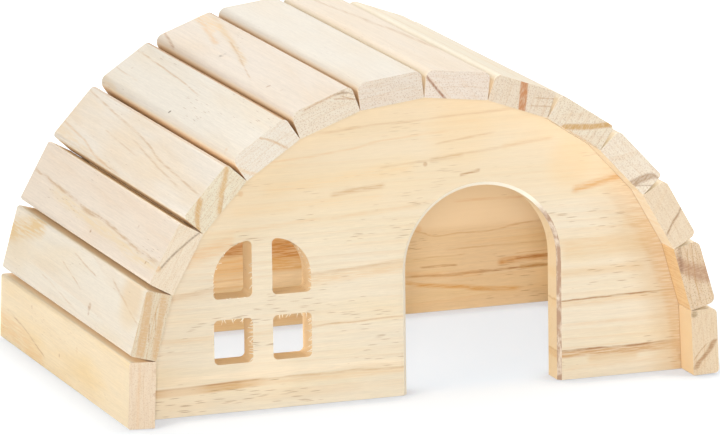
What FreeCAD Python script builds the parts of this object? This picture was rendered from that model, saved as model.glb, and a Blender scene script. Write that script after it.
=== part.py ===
import FreeCAD, Part
import math
import os

# Half-round hamster house in pine: a front board with a door and a window,
# a plain back board, and flat slats glued side by side round both of them.
# The boards' round edge is cut in flats, so that each slat lies on one.
# Millimetres, +Z up, the front faces -Y, and the origin lies on the floor
# under the middle of the house.

# Arch: from its centre to the middle of each slat's inner face
arch_radius = 113.0

# Slats: sawn strips with rounded outer edges
slat_width = 26.7
slat_thickness = 11.0
slat_length = 172.0
slat_gap = 0.05
slat_inner_edge_chamfer = 0.3
widest_rounding = 0.45  # largest outer radius, as a share of the thickness

# Outer edges: radii of the left and the right one of each slat, from the
# lowest slat on the left over the top, as the sander left them
outer_edge_radii = [(1.0, 1.1), (1.2, 1.2), (1.4, 1.2), (1.8, 2.0), (3.8, 2.2), (3.5, 2.2), (3.5, 2.4),
                    (2.8, 2.4), (2.6, 2.2), (2.4, 1.9), (2.2, 1.5), (2.4, 2.6), (2.8, 2.7), (2.5, 1.8)]

# Boards: both stand in from the ends of the slats, and a line of glue
# joins their edge to the slats
board_thickness = 11.0
board_setback = 13.5
glue_line = 0.02

# Door: round-headed, open to the floor, right of the middle
door_center_x = 28.55
door_width = 64.1
door_height = 82.4
door_edge_chamfer = 1.5

# Window: four panes milled through the board with a small cutter
window_center_x = -63.7
window_sill_z = 19.5
pane_width = 16.1
lower_pane_height = 18.0
upper_pane_height = 22.8
window_bar_width = 8.4
pane_corner_radius = 2.0

Y_AXIS = FreeCAD.Vector(0, 1, 0)
ORIGIN = FreeCAD.Vector(0, 0, 0)
SAME_PLACE = 1e-6

# The slats follow the round edge as a pattern. Neighbours meet, but for the
# gap, at their inner corners, and that sets the angle from slat to slat.
inner_corner_radius = math.hypot(arch_radius, slat_width / 2)
half_step = math.atan(slat_width / 2 / arch_radius) + math.asin(slat_gap / 2 / inner_corner_radius)
slat_step = 2 * half_step
slat_count = int(math.pi / slat_step) + 1

# The two lowest slats lean a little and stand on their inner edges, and
# that sets how far the centre of the arch lies above the floor.
lowest_lean = math.pi / 2 - (slat_count - 1) / 2 * slat_step
arch_center_z = slat_width / 2 * math.cos(lowest_lean) - arch_radius * math.sin(lowest_lean)

front_board_y = -slat_length / 2 + board_setback
back_board_y = slat_length / 2 - board_setback - board_thickness


def point(x, z):
    return FreeCAD.Vector(x, 0, z)


def line(start, end):
    return Part.LineSegment(point(*start), point(*end)).toShape()


def arc(start, middle, end):
    return Part.Arc(point(*start), point(*middle), point(*end)).toShape()


def plate(edges, y, thickness):
    """A flat outline in the XZ plane, made solid from y towards the back."""
    face = Part.Face(Part.Wire(edges))
    face.translate(FreeCAD.Vector(0, y, 0))
    return face.extrude(FreeCAD.Vector(0, thickness, 0))


def edges_along_y(solid, corners):
    """The edges that run front to back through the given corners."""
    found = []
    for edge in solid.Edges:
        ends = [vertex.Point for vertex in edge.Vertexes]
        if len(ends) < 2 or abs(ends[0].y - ends[1].y) < SAME_PLACE:
            continue
        for x, z in corners:
            if all(math.hypot(end.x - x, end.z - z) < SAME_PLACE for end in ends):
                found.append(edge)
    return found


def edges_in_plane(solid, y):
    """The edges that lie in the plane at this y."""
    return [edge for edge in solid.Edges
            if abs(edge.BoundBox.YMin - y) < SAME_PLACE and abs(edge.BoundBox.YMax - y) < SAME_PLACE]


def slat(index):
    """One strip, rounded on its outer edges, turned to its place on the arch."""
    blank = Part.makeBox(slat_width, slat_length, slat_thickness,
                         FreeCAD.Vector(-slat_width / 2, -slat_length / 2, 0))
    sides = (-slat_width / 2, slat_width / 2)
    strip = blank
    for x, radius in zip(sides, outer_edge_radii[index % len(outer_edge_radii)]):
        outer = edges_along_y(strip, [(x, slat_thickness)])
        strip = strip.makeFillet(min(radius, widest_rounding * slat_thickness), outer)
    inner = edges_along_y(strip, [(x, 0) for x in sides])
    strip = strip.makeChamfer(slat_inner_edge_chamfer, inner)
    strip.translate(point(0, arch_radius))
    lean = (index - (slat_count - 1) / 2) * slat_step
    strip.rotate(ORIGIN, Y_AXIS, math.degrees(lean))
    strip.translate(point(0, arch_center_z))
    return strip


def on_floor(low, high):
    """Where the line through two points meets the floor."""
    share = low[1] / (low[1] - high[1])
    return (low[0] + (high[0] - low[0]) * share, 0)


def board_outline():
    """A half-round with one flat for each slat, standing on the floor."""
    corner_radius = (arch_radius - glue_line) / math.cos(slat_step / 2)
    corners = []
    for index in range(slat_count + 1):
        turn = (index - slat_count / 2) * slat_step
        corners.append((corner_radius * math.sin(turn), arch_center_z + corner_radius * math.cos(turn)))
    corners[0] = on_floor(corners[0], corners[1])
    corners[-1] = on_floor(corners[-1], corners[-2])
    return [line(corners[index - 1], corners[index]) for index in range(len(corners))]


def door_cutter():
    """The door's round head on straight sides, cut down through the bottom edge."""
    half = door_width / 2
    left, right = door_center_x - half, door_center_x + half
    spring = door_height - half
    edges = [line((left, 0), (left, spring)),
             arc((left, spring), (door_center_x, door_height), (right, spring)),
             line((right, spring), (right, 0)),
             line((right, 0), (left, 0))]
    return plate(edges, front_board_y, board_thickness)


def pane_cutters():
    """Two square panes below and two with a quarter-round shoulder above."""
    cutters = []
    upper_sill = window_sill_z + lower_pane_height + window_bar_width
    for side in (-1, 1):
        inner = window_center_x + side * window_bar_width / 2
        outer = inner + side * pane_width
        low, high = window_sill_z, window_sill_z + lower_pane_height
        corners = [(outer, low), (inner, low), (inner, high), (outer, high)]
        edges = [line(corners[i], corners[(i + 1) % 4]) for i in range(4)]
        cutters.append((edges, corners))

        low, high = upper_sill, upper_sill + upper_pane_height
        shoulder = high - pane_width
        bend = pane_width * math.sqrt(0.5)
        corners = [(outer, low), (inner, low), (inner, high)]
        edges = [line((outer, shoulder), (outer, low)), line((outer, low), (inner, low)),
                 line((inner, low), (inner, high)),
                 arc((inner, high), (inner + side * bend, shoulder + bend), (outer, shoulder))]
        cutters.append((edges, corners))
    solids = []
    for edges, corners in cutters:
        pane = plate(edges, front_board_y, board_thickness)
        solids.append(pane.makeFillet(pane_corner_radius, edges_along_y(pane, corners)))
    return solids


def opening_edges(board, cutter):
    """The edges of the board's front face that run round one opening."""
    box = cutter.BoundBox
    found = []
    for edge in edges_in_plane(board, front_board_y):
        bounds = edge.BoundBox
        inside = (bounds.XMin > box.XMin - SAME_PLACE and bounds.XMax < box.XMax + SAME_PLACE
                  and bounds.ZMin > box.ZMin - SAME_PLACE and bounds.ZMax < box.ZMax + SAME_PLACE)
        if inside and bounds.ZMax > SAME_PLACE:
            found.append(edge)
    return found


def front_board():
    """The board with the door, its front edge bevelled, and the sharp-edged window."""
    board = plate(board_outline(), front_board_y, board_thickness)
    door = door_cutter()
    board = board.cut(door)
    board = board.makeChamfer(door_edge_chamfer, opening_edges(board, door))
    for pane in pane_cutters():
        board = board.cut(pane)
    return board


def back_board():
    """The plain board at the back, with the same outline."""
    return plate(board_outline(), back_board_y, board_thickness)


def write(name, shape):
    """One STEP file for one piece."""
    solid = shape.Solids[0]
    print(name, "solids", len(shape.Solids), "valid", shape.isValid(), "volume cm3", round(solid.Volume / 1000, 2))
    solid.exportStep(os.path.join("parts", name + ".step"))


os.makedirs("parts", exist_ok=True)
write("front_panel", front_board())
write("back_panel", back_board())
for index in range(slat_count):
    write("slat_%02d" % (index + 1), slat(index))
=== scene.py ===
# %% [markdown]
# # A half-round hamster house in bare pine
# This lesson dresses a small wooden house: fourteen pine slats laid round two
# half-round boards, with a doorway and a four-pane window. Nothing on it is
# painted or varnished, so nearly all of its look is the wood itself. The shapes
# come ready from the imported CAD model. What is left to do here is the camera,
# the light, and above all a pine that is right on every face and on every cut.

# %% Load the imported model
import math
import random
from collections import namedtuple

import bpy
from mathutils import Matrix, Vector


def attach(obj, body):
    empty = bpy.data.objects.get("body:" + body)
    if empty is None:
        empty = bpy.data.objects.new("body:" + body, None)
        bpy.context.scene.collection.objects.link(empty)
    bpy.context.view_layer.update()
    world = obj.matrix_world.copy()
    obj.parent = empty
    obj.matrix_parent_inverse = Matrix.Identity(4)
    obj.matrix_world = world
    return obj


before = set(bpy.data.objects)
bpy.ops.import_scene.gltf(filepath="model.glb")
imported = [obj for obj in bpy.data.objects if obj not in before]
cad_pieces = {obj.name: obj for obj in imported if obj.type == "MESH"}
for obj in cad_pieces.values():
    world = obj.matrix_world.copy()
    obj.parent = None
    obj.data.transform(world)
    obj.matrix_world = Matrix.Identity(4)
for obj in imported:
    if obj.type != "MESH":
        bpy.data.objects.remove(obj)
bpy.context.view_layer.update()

# %% [markdown]
# ## The camera
# The photograph was taken from the front, a little to the left and from
# above, with a long lens: the far ends of the slats look hardly smaller than the
# near ones. A camera can be placed by eye, but here its angles and distance
# were worked out from the corners of the slats. They are kept as plain numbers,
# and the camera's axes are built from them, which also gives its slight roll.

# %% Place the camera
view_azimuth = math.radians(19.385)
view_elevation = math.radians(12.302)
view_roll = math.radians(-0.79)
view_distance = 2.8955
view_lens_mm = 369.06
view_target = Vector((-0.02715, -0.0854, 0.07681))

forward = Vector((math.sin(view_azimuth) * math.cos(view_elevation),
                  math.cos(view_azimuth) * math.cos(view_elevation),
                  -math.sin(view_elevation)))
level_right = forward.cross(Vector((0, 0, 1))).normalized()
level_up = level_right.cross(forward)
right = level_right * math.cos(view_roll) + level_up * math.sin(view_roll)
up = level_up * math.cos(view_roll) - level_right * math.sin(view_roll)

camera_data = bpy.data.cameras.new("camera")
camera_data.sensor_width = 36.0
camera_data.lens = view_lens_mm
camera_data.clip_end = 20.0
camera = bpy.data.objects.new("camera", camera_data)
bpy.context.scene.collection.objects.link(camera)
turn = Matrix((right, up, -forward)).transposed().to_4x4()
camera.matrix_world = Matrix.Translation(view_target - forward * view_distance) @ turn
bpy.context.scene.camera = camera
print("camera at", [round(value, 3) for value in camera.matrix_world.translation])

# %% [markdown]
# ## Colours as they are mixed in a shop
# Wood tones are easiest to compare as red, green and blue from 0 to 255, as a
# paint shop or a picture program gives them. Blender counts light itself, where
# half as much light is half the number. So every tone is written the first way,
# and one small function turns it into the second.

# %% Tones
def tone(red, green, blue):
    """A colour from 0 to 255 in the linear values that Blender wants."""
    shares = [value / 255 for value in (red, green, blue)]
    return (*[((share + 0.055) / 1.055) ** 2.4 if share > 0.04 else share / 12.92 for share in shares], 1.0)


print("a middle grey gives this share of the light:", round(tone(128, 128, 128)[0], 3))

# %% [markdown]
# ## A helper for writing finishes
# A finish in Blender is a net of nodes. Wiring each one by hand takes three
# or four lines, which hides the idea behind the bookkeeping. This small helper
# adds a node and wires it in one call, so that a finish can be read from top to
# bottom like a recipe. Every input may be a number, a tone or another node's
# output.

# %% The recipe helper
class Recipe:
    """Adds nodes to one net and wires them as they are added."""

    def __init__(self, net):
        self.net = net

    def add(self, kind, **settings):
        node = self.net.nodes.new(kind)
        for name, value in settings.items():
            setattr(node, name, value)
        return node

    def feed(self, socket, value):
        if isinstance(value, bpy.types.NodeSocket):
            self.net.links.new(value, socket)
        elif socket.type == "RGBA" and len(value) == 3:
            socket.default_value = tone(*value)
        else:
            socket.default_value = value

    def feed_all(self, sockets, values):
        for socket, value in zip(sockets, values):
            self.feed(socket, value)

    def math(self, operation, *values):
        node = self.add("ShaderNodeMath", operation=operation)
        self.feed_all(node.inputs, values)
        return node.outputs[0]

    def vector(self, operation, *values):
        node = self.add("ShaderNodeVectorMath", operation=operation)
        self.feed_all(node.inputs, values)
        return node.outputs["Value" if operation in ("DOT_PRODUCT", "LENGTH") else "Vector"]

    def scale(self, vector, amount):
        node = self.add("ShaderNodeVectorMath", operation="SCALE")
        self.feed_all((node.inputs[0], node.inputs["Scale"]), (vector, amount))
        return node.outputs["Vector"]

    def split(self, vector):
        node = self.add("ShaderNodeSeparateXYZ")
        self.feed(node.inputs[0], vector)
        return node.outputs

    def join(self, x, y, z):
        node = self.add("ShaderNodeCombineXYZ")
        self.feed_all(node.inputs, (x, y, z))
        return node.outputs[0]

    def coordinate(self, kind):
        return self.add("ShaderNodeTexCoord").outputs[kind]

# %% [markdown]
# ## Soft steps, noise and mixing
# Wood has no hard borders: a tone fades in, a line has a soft edge, a patch
# thins out. Nearly everything below is therefore said with four words. A rise is
# a soft step from 0 to 1, noise gives soft lumps, a product lets several masks
# limit each other, and a blend lays one tone over another as far as a mask says.

# %% Helpers for soft steps, noise and mixing
def rise(recipe, value, start, end):
    """0 before start, 1 after end and a soft step between; it falls where start is past end."""
    node = recipe.add("ShaderNodeMapRange", interpolation_type="SMOOTHSTEP")
    for name, given in (("Value", value), ("From Min", start), ("From Max", end)):
        recipe.feed(node.inputs[name], given)
    return node.outputs["Result"]


def noise(recipe, vector, rate, detail=2.0, roughness=0.5, output="Fac"):
    """Soft noise between 0 and 1; rate is how many lumps there are per unit, in each direction."""
    node = recipe.add("ShaderNodeTexNoise")
    recipe.feed(node.inputs["Vector"], recipe.vector("MULTIPLY", vector, rate))
    node.inputs["Scale"].default_value = 1.0
    node.inputs["Detail"].default_value = detail
    node.inputs["Roughness"].default_value = roughness
    return node.outputs[output]


def blend(recipe, factor, under, over, mode="MIX"):
    """One tone laid over another, as far as the factor says."""
    node = recipe.add("ShaderNodeMix", data_type="RGBA", blend_type=mode)
    recipe.feed_all((node.inputs[0], node.inputs[6], node.inputs[7]), (factor, under, over))
    return node.outputs[2]


def product(recipe, *values):
    """All the given masks multiplied."""
    result = values[0]
    for value in values[1:]:
        result = recipe.math("MULTIPLY", result, value)
    return result


def new_finish(name):
    """An empty material, and the recipe that will fill it."""
    material = bpy.data.materials.new(name)
    material.use_nodes = True
    material.node_tree.nodes.clear()
    return material, Recipe(material.node_tree)

# %% [markdown]
# ## The table
# The house stands on a white sweep in soft, even light, and the photograph's background is pure white.
# Turning the lamps up until the floor burns out would also wash out the pale wood. So the floor stays an
# ordinary matt white for the light that bounces, and only what the camera sees of it is lifted towards white.
# Ambient occlusion finds where the house is near, for a painted soft contact shadow along the feet, and a
# mask under the roof paints a cooler, darker grey shade on the floor that shows through the door.

# %% The floor
floor_size = 8.0
floor_drop = 0.0002
floor_tone = (243, 243, 245)
seen_shading = 0.42
seen_glow = 0.69
glow_start, glow_full = 0.17, 0.26
contact_reach = 0.014
lit_side_x = (-0.110, -0.122)
lit_side_loss = 0.65
under_roof_x = (0.122, 0.112)
under_roof_y = (0.082, 0.058)
contact_tint = (0.62, 0.65, 0.70, 1.0)
open_tint = (0.95, 0.98, 1.0, 1.0)
roof_shade_tint = (0.82, 0.91, 1.0, 1.0)

bpy.ops.mesh.primitive_plane_add(size=floor_size, location=(0, 0, -floor_drop))
floor = bpy.context.object
floor.name = "floor"

floor_finish, sweep = new_finish("white_sweep")
camera_ray = sweep.add("ShaderNodeLightPath").outputs["Is Camera Ray"]
floor_place = sweep.coordinate("Object")
floor_x, floor_y = sweep.split(floor_place)[:2]

nearness = sweep.add("ShaderNodeAmbientOcclusion", samples=8)
nearness.inputs["Distance"].default_value = contact_reach
lit_left = sweep.math("MULTIPLY_ADD", rise(sweep, floor_x, *lit_side_x), -lit_side_loss, 1.0)
contact = product(sweep, rise(sweep, nearness.outputs["AO"], 1.0, 0.60), lit_left)
under_roof = product(sweep, rise(sweep, sweep.math("ABSOLUTE", floor_x), *under_roof_x),
                     rise(sweep, sweep.math("ABSOLUTE", floor_y), *under_roof_y))
# Painted shade: the floor under the roof is seen a cooler, darker grey
seen_tint = blend(sweep, under_roof, open_tint, roof_shade_tint)

matt = sweep.add("ShaderNodeBsdfDiffuse")
sweep.feed(matt.inputs["Color"], blend(sweep, camera_ray, floor_tone, (seen_shading,) * 3 + (1.0,)))
glow = sweep.add("ShaderNodeEmission")
sweep.feed(glow.inputs["Color"], blend(sweep, contact, seen_tint, contact_tint))
away = rise(sweep, sweep.vector("LENGTH", floor_place), glow_start, glow_full)
strength = sweep.math("MULTIPLY_ADD", away, 1.0 - seen_glow, seen_glow)
sweep.feed(glow.inputs["Strength"], sweep.math("MULTIPLY", strength, camera_ray))
both = sweep.add("ShaderNodeAddShader")
sweep.feed_all(both.inputs, (matt.outputs[0], glow.outputs[0]))
sweep.feed(sweep.add("ShaderNodeOutputMaterial").inputs["Surface"], both.outputs[0])
floor.data.materials.append(floor_finish)
print("floor nodes", len(floor_finish.node_tree.nodes))

# %% [markdown]
# ## The room
# A white room gives back light from all sides, which is what keeps the shadows on
# pale wood so soft. The house gets a plain share of it. The camera alone sees the
# room at full strength, and so the background is pure white.

# %% Surroundings
room_light = 0.40

world = bpy.data.worlds.new("studio")
bpy.context.scene.world = world
world.use_nodes = True
world.node_tree.nodes.clear()
room = Recipe(world.node_tree)
backdrop = room.add("ShaderNodeBackground")
camera_ray = room.add("ShaderNodeLightPath").outputs["Is Camera Ray"]
room.feed(backdrop.inputs["Strength"], room.math("MULTIPLY_ADD", camera_ray, 1.0 - room_light, room_light))
backdrop.inputs["Color"].default_value = (1.0, 1.0, 1.0, 1.0)
room.feed(room.add("ShaderNodeOutputWorld").inputs["Surface"], backdrop.outputs[0])
bpy.context.scene.view_settings.view_transform = "Standard"
print("room light", room_light)

# %% [markdown]
# ## Soft lamps
# The shading says where the light came from: the front and the left faces are
# bright, the top nearly white, and the right-hand gaps stay warm and dim. Large
# square lamps, each turned to the house, give such soft light. Two small weak ones
# inside stand for the light that comes in by the door and the window and bounces
# about there.

# %% Place the lamps
# Each row: name, place, size, power, and the point that it faces
house_middle = (0, 0, 0.06)
lamp_rows = [("front_softbox", (-0.86, -2.45, 0.58), 0.4, 28.0, house_middle),
             ("top_softbox", (0.6, 0.2, 1.85), 1.2, 16.0, house_middle),
             ("left_softbox", (-1.8, -0.75, 0.7), 1.0, 12.0, house_middle),
             ("back_softbox", (0.5, 1.9, 1.0), 1.2, 9.0, house_middle),
             ("fill_inside", (0.0, -0.045, 0.098), 0.05, 0.022, (0.05, 0.061, 0.03)),
             ("fill_window", (-0.075, -0.050, 0.035), 0.04, 0.033, (-0.02, 0.061, 0.03))]

for name, place, size, power, target in lamp_rows:
    data = bpy.data.lights.new(name, "AREA")
    data.size = size
    data.energy = power
    lamp = bpy.data.objects.new(name, data)
    bpy.context.scene.collection.objects.link(lamp)
    lamp.location = place
    lamp.rotation_euler = (Vector(target) - Vector(place)).to_track_quat("-Z", "Y").to_euler()
print("lamps", len(lamp_rows))

# %% [markdown]
# ## Where a slat lies
# Each slat was cut straight and only then turned to its place on the arch. Its
# grain must turn with it, or the rings would run through neighbouring slats as
# through one block. The texture coordinates are therefore taken back to the
# slat's own bench position: millimetres across its width, along it from the
# front end, and out from its inner face.

# %% Slat positions on the arch
arch_radius = 0.113
slat_width = 0.0267
slat_length = 0.172
slat_gap = 0.00005
millimetre = 0.001

slat_names = sorted(name for name in cad_pieces if name.startswith("slat_"))
inner_corner = math.hypot(arch_radius, slat_width / 2)
slat_step = 2 * (math.atan(slat_width / 2 / arch_radius) + math.asin(slat_gap / 2 / inner_corner))
lowest_lean = math.pi / 2 - (len(slat_names) - 1) / 2 * slat_step
arch_center_z = slat_width / 2 * math.cos(lowest_lean) - arch_radius * math.sin(lowest_lean)


def slat_lean(number):
    """How far slat 1, 2, 3 ... leans from lying flat on top, in radians."""
    return (number - (len(slat_names) + 1) / 2) * slat_step


def slat_position(recipe, number):
    """Millimetres across, along and out from the inner face of one slat."""
    lean = slat_lean(number)
    turn_back = recipe.add("ShaderNodeMapping", vector_type="TEXTURE")
    recipe.feed(turn_back.inputs["Vector"], recipe.coordinate("Object"))
    turn_back.inputs["Location"].default_value = (arch_radius * math.sin(lean), -slat_length / 2,
                                                  arch_center_z + arch_radius * math.cos(lean))
    turn_back.inputs["Rotation"].default_value = (0, lean, 0)
    turn_back.inputs["Scale"].default_value = (millimetre,) * 3
    return turn_back.outputs[0]


# %% [markdown]
# ## Groups of nodes
# Rings and fibres are the same for every strip but for a few numbers. They
# could be wired again for each of the sixteen pieces. A group is wired once and
# used like a single node, with its numbers as inputs, so it stays short to read.

# %% Helpers for groups
SOCKETS = {"value": "NodeSocketFloat", "vector": "NodeSocketVector"}


def new_group(name, inputs, outputs):
    """An empty node group, with a recipe to fill it and its own inputs and outputs."""
    group = bpy.data.node_groups.new(name, "ShaderNodeTree")
    for label, kind in inputs:
        group.interface.new_socket(label, in_out="INPUT", socket_type=SOCKETS[kind])
    for label in outputs:
        group.interface.new_socket(label, in_out="OUTPUT", socket_type=SOCKETS["value"])
    recipe = Recipe(group)
    return group, recipe, recipe.add("NodeGroupInput").outputs, recipe.add("NodeGroupOutput").inputs


def use_group(recipe, group, **inputs):
    """One use of a group; its inputs are given by name, with _ for a space."""
    node = recipe.add("ShaderNodeGroup", node_tree=group)
    for name, value in inputs.items():
        recipe.feed(node.inputs[name.replace("_", " ")], value)
    return node.outputs


def seeded_place(recipe, given, spread):
    """The place in the wood, moved far off by the seed, so that no two strips are alike."""
    seeds = recipe.join(given["Seed"], given["Seed"], given["Seed"])
    return recipe.vector("ADD", given["Position"], recipe.vector("MULTIPLY", seeds, spread))

# %% [markdown]
# ## Growth rings
# A plank shows rings because it is cut through the nested cylinders of a trunk.
# Drawing stripes on each face would never make the stripe on the end meet the
# stripe on the side. So the rings are solid: every point of the wood knows how far
# it is from the tree's centre, and the colour follows that distance. Soft noise
# bends the cylinders, since no trunk is a perfect one. In pine each ring darkens
# slowly towards its outer edge and ends there abruptly, and this step has the
# same lopsided profile.

# %% A group for the rings
ring_group, ring, given, result = new_group(
    "growth rings",
    [("Position", "vector"), ("Outward", "vector"), ("Centre distance", "value"), ("Drift", "value"),
     ("Ring width", "value"), ("Wander", "value"), ("Seed", "value")],
    ["Late wood"])

seeded = seeded_place(ring, given, (37.0, 11.0, 23.0))
slow = noise(ring, seeded, (0.030, 0.009, 0.030), output="Color")
slow = ring.vector("SUBTRACT", slow, (0.5, 0.5, 0.5))
quick = noise(ring, seeded, (0.30, 0.05, 0.30), detail=4.0)
bent = ring.vector("ADD", given["Position"], ring.scale(slow, ring.math("MULTIPLY", given["Wander"], 2.2)))
from_centre = ring.scale(given["Outward"], given["Centre distance"])
across, along, out = ring.split(ring.vector("ADD", bent, from_centre))
spoke = ring.vector("LENGTH", ring.join(across, 0.0, out))
radius = ring.math("SUBTRACT", spoke, given["Centre distance"])
radius = ring.math("ADD", radius, product(ring, given["Drift"], along, 0.01))
radius = ring.math("ADD", radius, product(ring, ring.math("SUBTRACT", quick, 0.5), given["Wander"], 0.8))

years = ring.math("DIVIDE", radius, given["Ring width"])
uneven = noise(ring, ring.join(years, given["Seed"], 0.0), (0.45, 1.0, 1.0), detail=1.0)
years = ring.math("ADD", years, ring.math("MULTIPLY", uneven, 2.2))
phase = ring.math("FRACT", years)
late = product(ring, rise(ring, phase, 0.25, 0.93), rise(ring, phase, 1.0, 0.955))
luck = ring.add("ShaderNodeTexWhiteNoise", noise_dimensions="2D")
ring.feed(luck.inputs["Vector"], ring.join(ring.math("FLOOR", years), given["Seed"], 0.0))
late = product(ring, late, ring.math("MULTIPLY_ADD", luck.outputs["Value"], 0.8, 0.2))
come_and_go = noise(ring, seeded, (0.08, 0.022, 0.08))
late = product(ring, late, rise(ring, come_and_go, 0.30, 0.60))
ring.feed(result["Late wood"], late)
print("ring group", len(ring_group.nodes), "nodes")

# %% [markdown]
# ## Fibres and resin canals
# Between the rings, pine has two finer signs. Fibres draw faint streaks that
# run along the grain. Resin canals are thin brown tubes among them: a face that
# cuts them nearly lengthwise shows short dashes, and a sawn end shows dots. Both
# can come from one solid texture each, stretched many times along the grain. The
# dashes are the middles of stretched Voronoi cells, and a slow noise lets them
# come in drifts, as they do in a board.

# %% A group for the fibres
def cell_distance(recipe, vector, rate):
    """How far a point is from the middle of its cell, with rate cells per unit."""
    node = recipe.add("ShaderNodeTexVoronoi")
    recipe.feed(node.inputs["Vector"], recipe.vector("MULTIPLY", vector, rate))
    node.inputs["Scale"].default_value = 1.0
    return node.outputs["Distance"]


fibre_group, fibre, given, result = new_group(
    "pine fibres", [("Position", "vector"), ("Dash size", "value"), ("Seed", "value")],
    ["Streaks", "Dashes", "Clouds", "Specks"])

seeded = seeded_place(fibre, given, (13.0, 29.0, 7.0))
streaks = noise(fibre, seeded, (1.5, 0.035, 1.5), detail=3.0, roughness=0.6)
ticks = noise(fibre, seeded, (3.2, 0.22, 3.2), roughness=0.6)
fibre.feed(result["Streaks"], fibre.math("MULTIPLY_ADD", ticks, 0.45, fibre.math("MULTIPLY", streaks, 0.55)))
fibre.feed(result["Clouds"], noise(fibre, seeded, (0.07, 0.014, 0.07)))

dash_bend = fibre.scale(noise(fibre, seeded, (0.2, 0.05, 0.2), output="Color"), 0.8)
dash_distance = cell_distance(fibre, fibre.vector("ADD", seeded, dash_bend), (1.6, 0.085, 1.6))
drifts = noise(fibre, seeded, (0.10, 0.022, 0.10), detail=1.0)
dash_size = fibre.math("MULTIPLY", rise(fibre, drifts, 0.42, 0.66), given["Dash size"])
fibre.feed(result["Dashes"], rise(fibre, dash_distance, dash_size, fibre.math("MULTIPLY", dash_size, 0.35)))
fibre.feed(result["Specks"], rise(fibre, cell_distance(fibre, seeded, (1.35, 0.2, 1.35)), 0.42, 0.18))
print("fibre group", len(fibre_group.nodes), "nodes")

# %% [markdown]
# ## Marks that single out a strip
# Two strips of pine are never alike: one has a dark ring running off its face at
# a slant, another a small knot. Such marks can't be left to a random texture,
# since they stand in known places. So each is drawn: a line is a list of points
# with a soft width, and a knot is a soft spot. A curve node holds the points, so
# a long bent line costs no more than a short straight one.

# %% Lines and spots
line_taper = 0.12  # share of a line's length over which it fades at each end


def grain_line(recipe, run, across, points, width, soft):
    """1 on a smooth line through the points (run, across), in millimetres, and 0 away from it."""
    first, last = points[0][0], points[-1][0]
    low = min(point[1] for point in points)
    height = max(max(point[1] for point in points) - low, 0.01)
    curve = recipe.add("ShaderNodeFloatCurve")
    steps = curve.mapping.curves[0].points
    steps[0].location = (0.0, (points[0][1] - low) / height)
    steps[1].location = (1.0, (points[-1][1] - low) / height)
    for place, offset in points[1:-1]:
        steps.new((place - first) / (last - first), (offset - low) / height)
    curve.mapping.update()
    travelled = recipe.math("DIVIDE", recipe.math("SUBTRACT", run, first), last - first)
    recipe.feed(curve.inputs["Value"], travelled)
    line = recipe.math("MULTIPLY_ADD", curve.outputs[0], height, low)
    distance = recipe.math("ABSOLUTE", recipe.math("SUBTRACT", across, line))
    taper = line_taper * (last - first)
    return product(recipe, rise(recipe, distance, width / 2 + soft, max(width / 2 - soft, 0.0)),
                   rise(recipe, run, first, first + taper), rise(recipe, run, last, last - taper))


def line_mask(recipe, x, y, points, width, soft):
    """A line through points (x, y), followed along whichever of the two it runs further."""
    run_x = abs(points[-1][0] - points[0][0])
    run_y = abs(points[-1][1] - points[0][1])
    if run_x >= run_y:
        return grain_line(recipe, x, y, sorted(points), width, soft)
    return grain_line(recipe, y, x, sorted((point[1], point[0]) for point in points), width, soft)


def spot_mask(recipe, x, y, place, size):
    """A small soft spot, such as a pin knot."""
    offset = recipe.vector("SUBTRACT", recipe.join(x, y, 0.0), (*place, 0.0))
    return rise(recipe, recipe.vector("LENGTH", offset), size, size * 0.35)


def draw_marks(recipe, base, x, y, lines, spots, where):
    """Draws lines (points, width, soft, strength, tone) and spots (place, size, strength, tone)."""
    for points, width, soft, strength, mark_tone in lines:
        mask = product(recipe, line_mask(recipe, x, y, points, width, soft), strength, where)
        base = blend(recipe, mask, base, mark_tone)
    for place, size, strength, mark_tone in spots:
        mask = product(recipe, spot_mask(recipe, x, y, place, size), strength, where)
        base = blend(recipe, mask, base, mark_tone)
    return base


def wavering(recipe, position, value, amount, along_rate):
    """A coordinate that wanders a little, so that a mark drawn by it looks grown, not ruled."""
    waver = noise(recipe, position, (0.25, along_rate, 0.25), detail=4.0, roughness=0.6)
    return recipe.math("MULTIPLY_ADD", recipe.math("SUBTRACT", waver, 0.5), amount, value)

# %% [markdown]
# ## The tones of pine
# Pine looks like one colour from afar, but it is a range from nearly white over
# honey to brown. Naming the tones once keeps the marks below readable, and lets
# one correction reach every piece.

# %% Named tones
amber = (222, 178, 122)
golden = (238, 206, 156)
tan = (228, 194, 148)
orange = (232, 190, 138)
dark_orange = (196, 134, 68)
line_tan = (206, 168, 122)
brown = (186, 140, 92)
dash_brown = (168, 126, 84)
scorched_brown = (160, 118, 86)
pale = (250, 232, 202)
# Painted light and shade for the sides in the gaps: a highlight, warm bounce light and deep shade
lit_side = (253, 240, 216)
warm_bounce_tone = (246, 212, 168)
gap_shade_tone = (138, 80, 46)
# Painted shade for the rounding that turns to the right
rounding_shade_tone = (196, 152, 106)
splinter_tone = (255, 246, 226)
print("from pale", pale, "to brown", brown)

# %% [markdown]
# ## Laying the finish together
# The wood is built up in thin layers, each only a little darker or warmer than
# the last: the plain tone of the strip, clouds, growth rings, streaks and dashes.
# Bare planed pine has no gloss of its own, so the surface is rough, and its relief
# is as shallow as the scratch of a fingernail.

# %% Layers of pine
pine_ior = 1.45
pine_specular = 0.28
relief_strength = 0.5
relief_depth = 0.00025
middle_of_slat = (0, 0, 5.5)


def finish_shader(recipe, base, height, dull):
    """The matt, faintly silky surface of planed pine, with its relief."""
    bump = recipe.add("ShaderNodeBump")
    bump.inputs["Strength"].default_value = relief_strength
    bump.inputs["Distance"].default_value = relief_depth
    recipe.feed(bump.inputs["Height"], height)
    shader = recipe.add("ShaderNodeBsdfPrincipled")
    shader.inputs["IOR"].default_value = pine_ior
    shader.inputs["Specular IOR Level"].default_value = pine_specular
    for name, value in (("Base Color", base), ("Roughness", dull), ("Normal", bump.outputs[0])):
        recipe.feed(shader.inputs[name], value)
    recipe.feed(recipe.add("ShaderNodeOutputMaterial").inputs["Surface"], shader.outputs[0])


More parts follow.
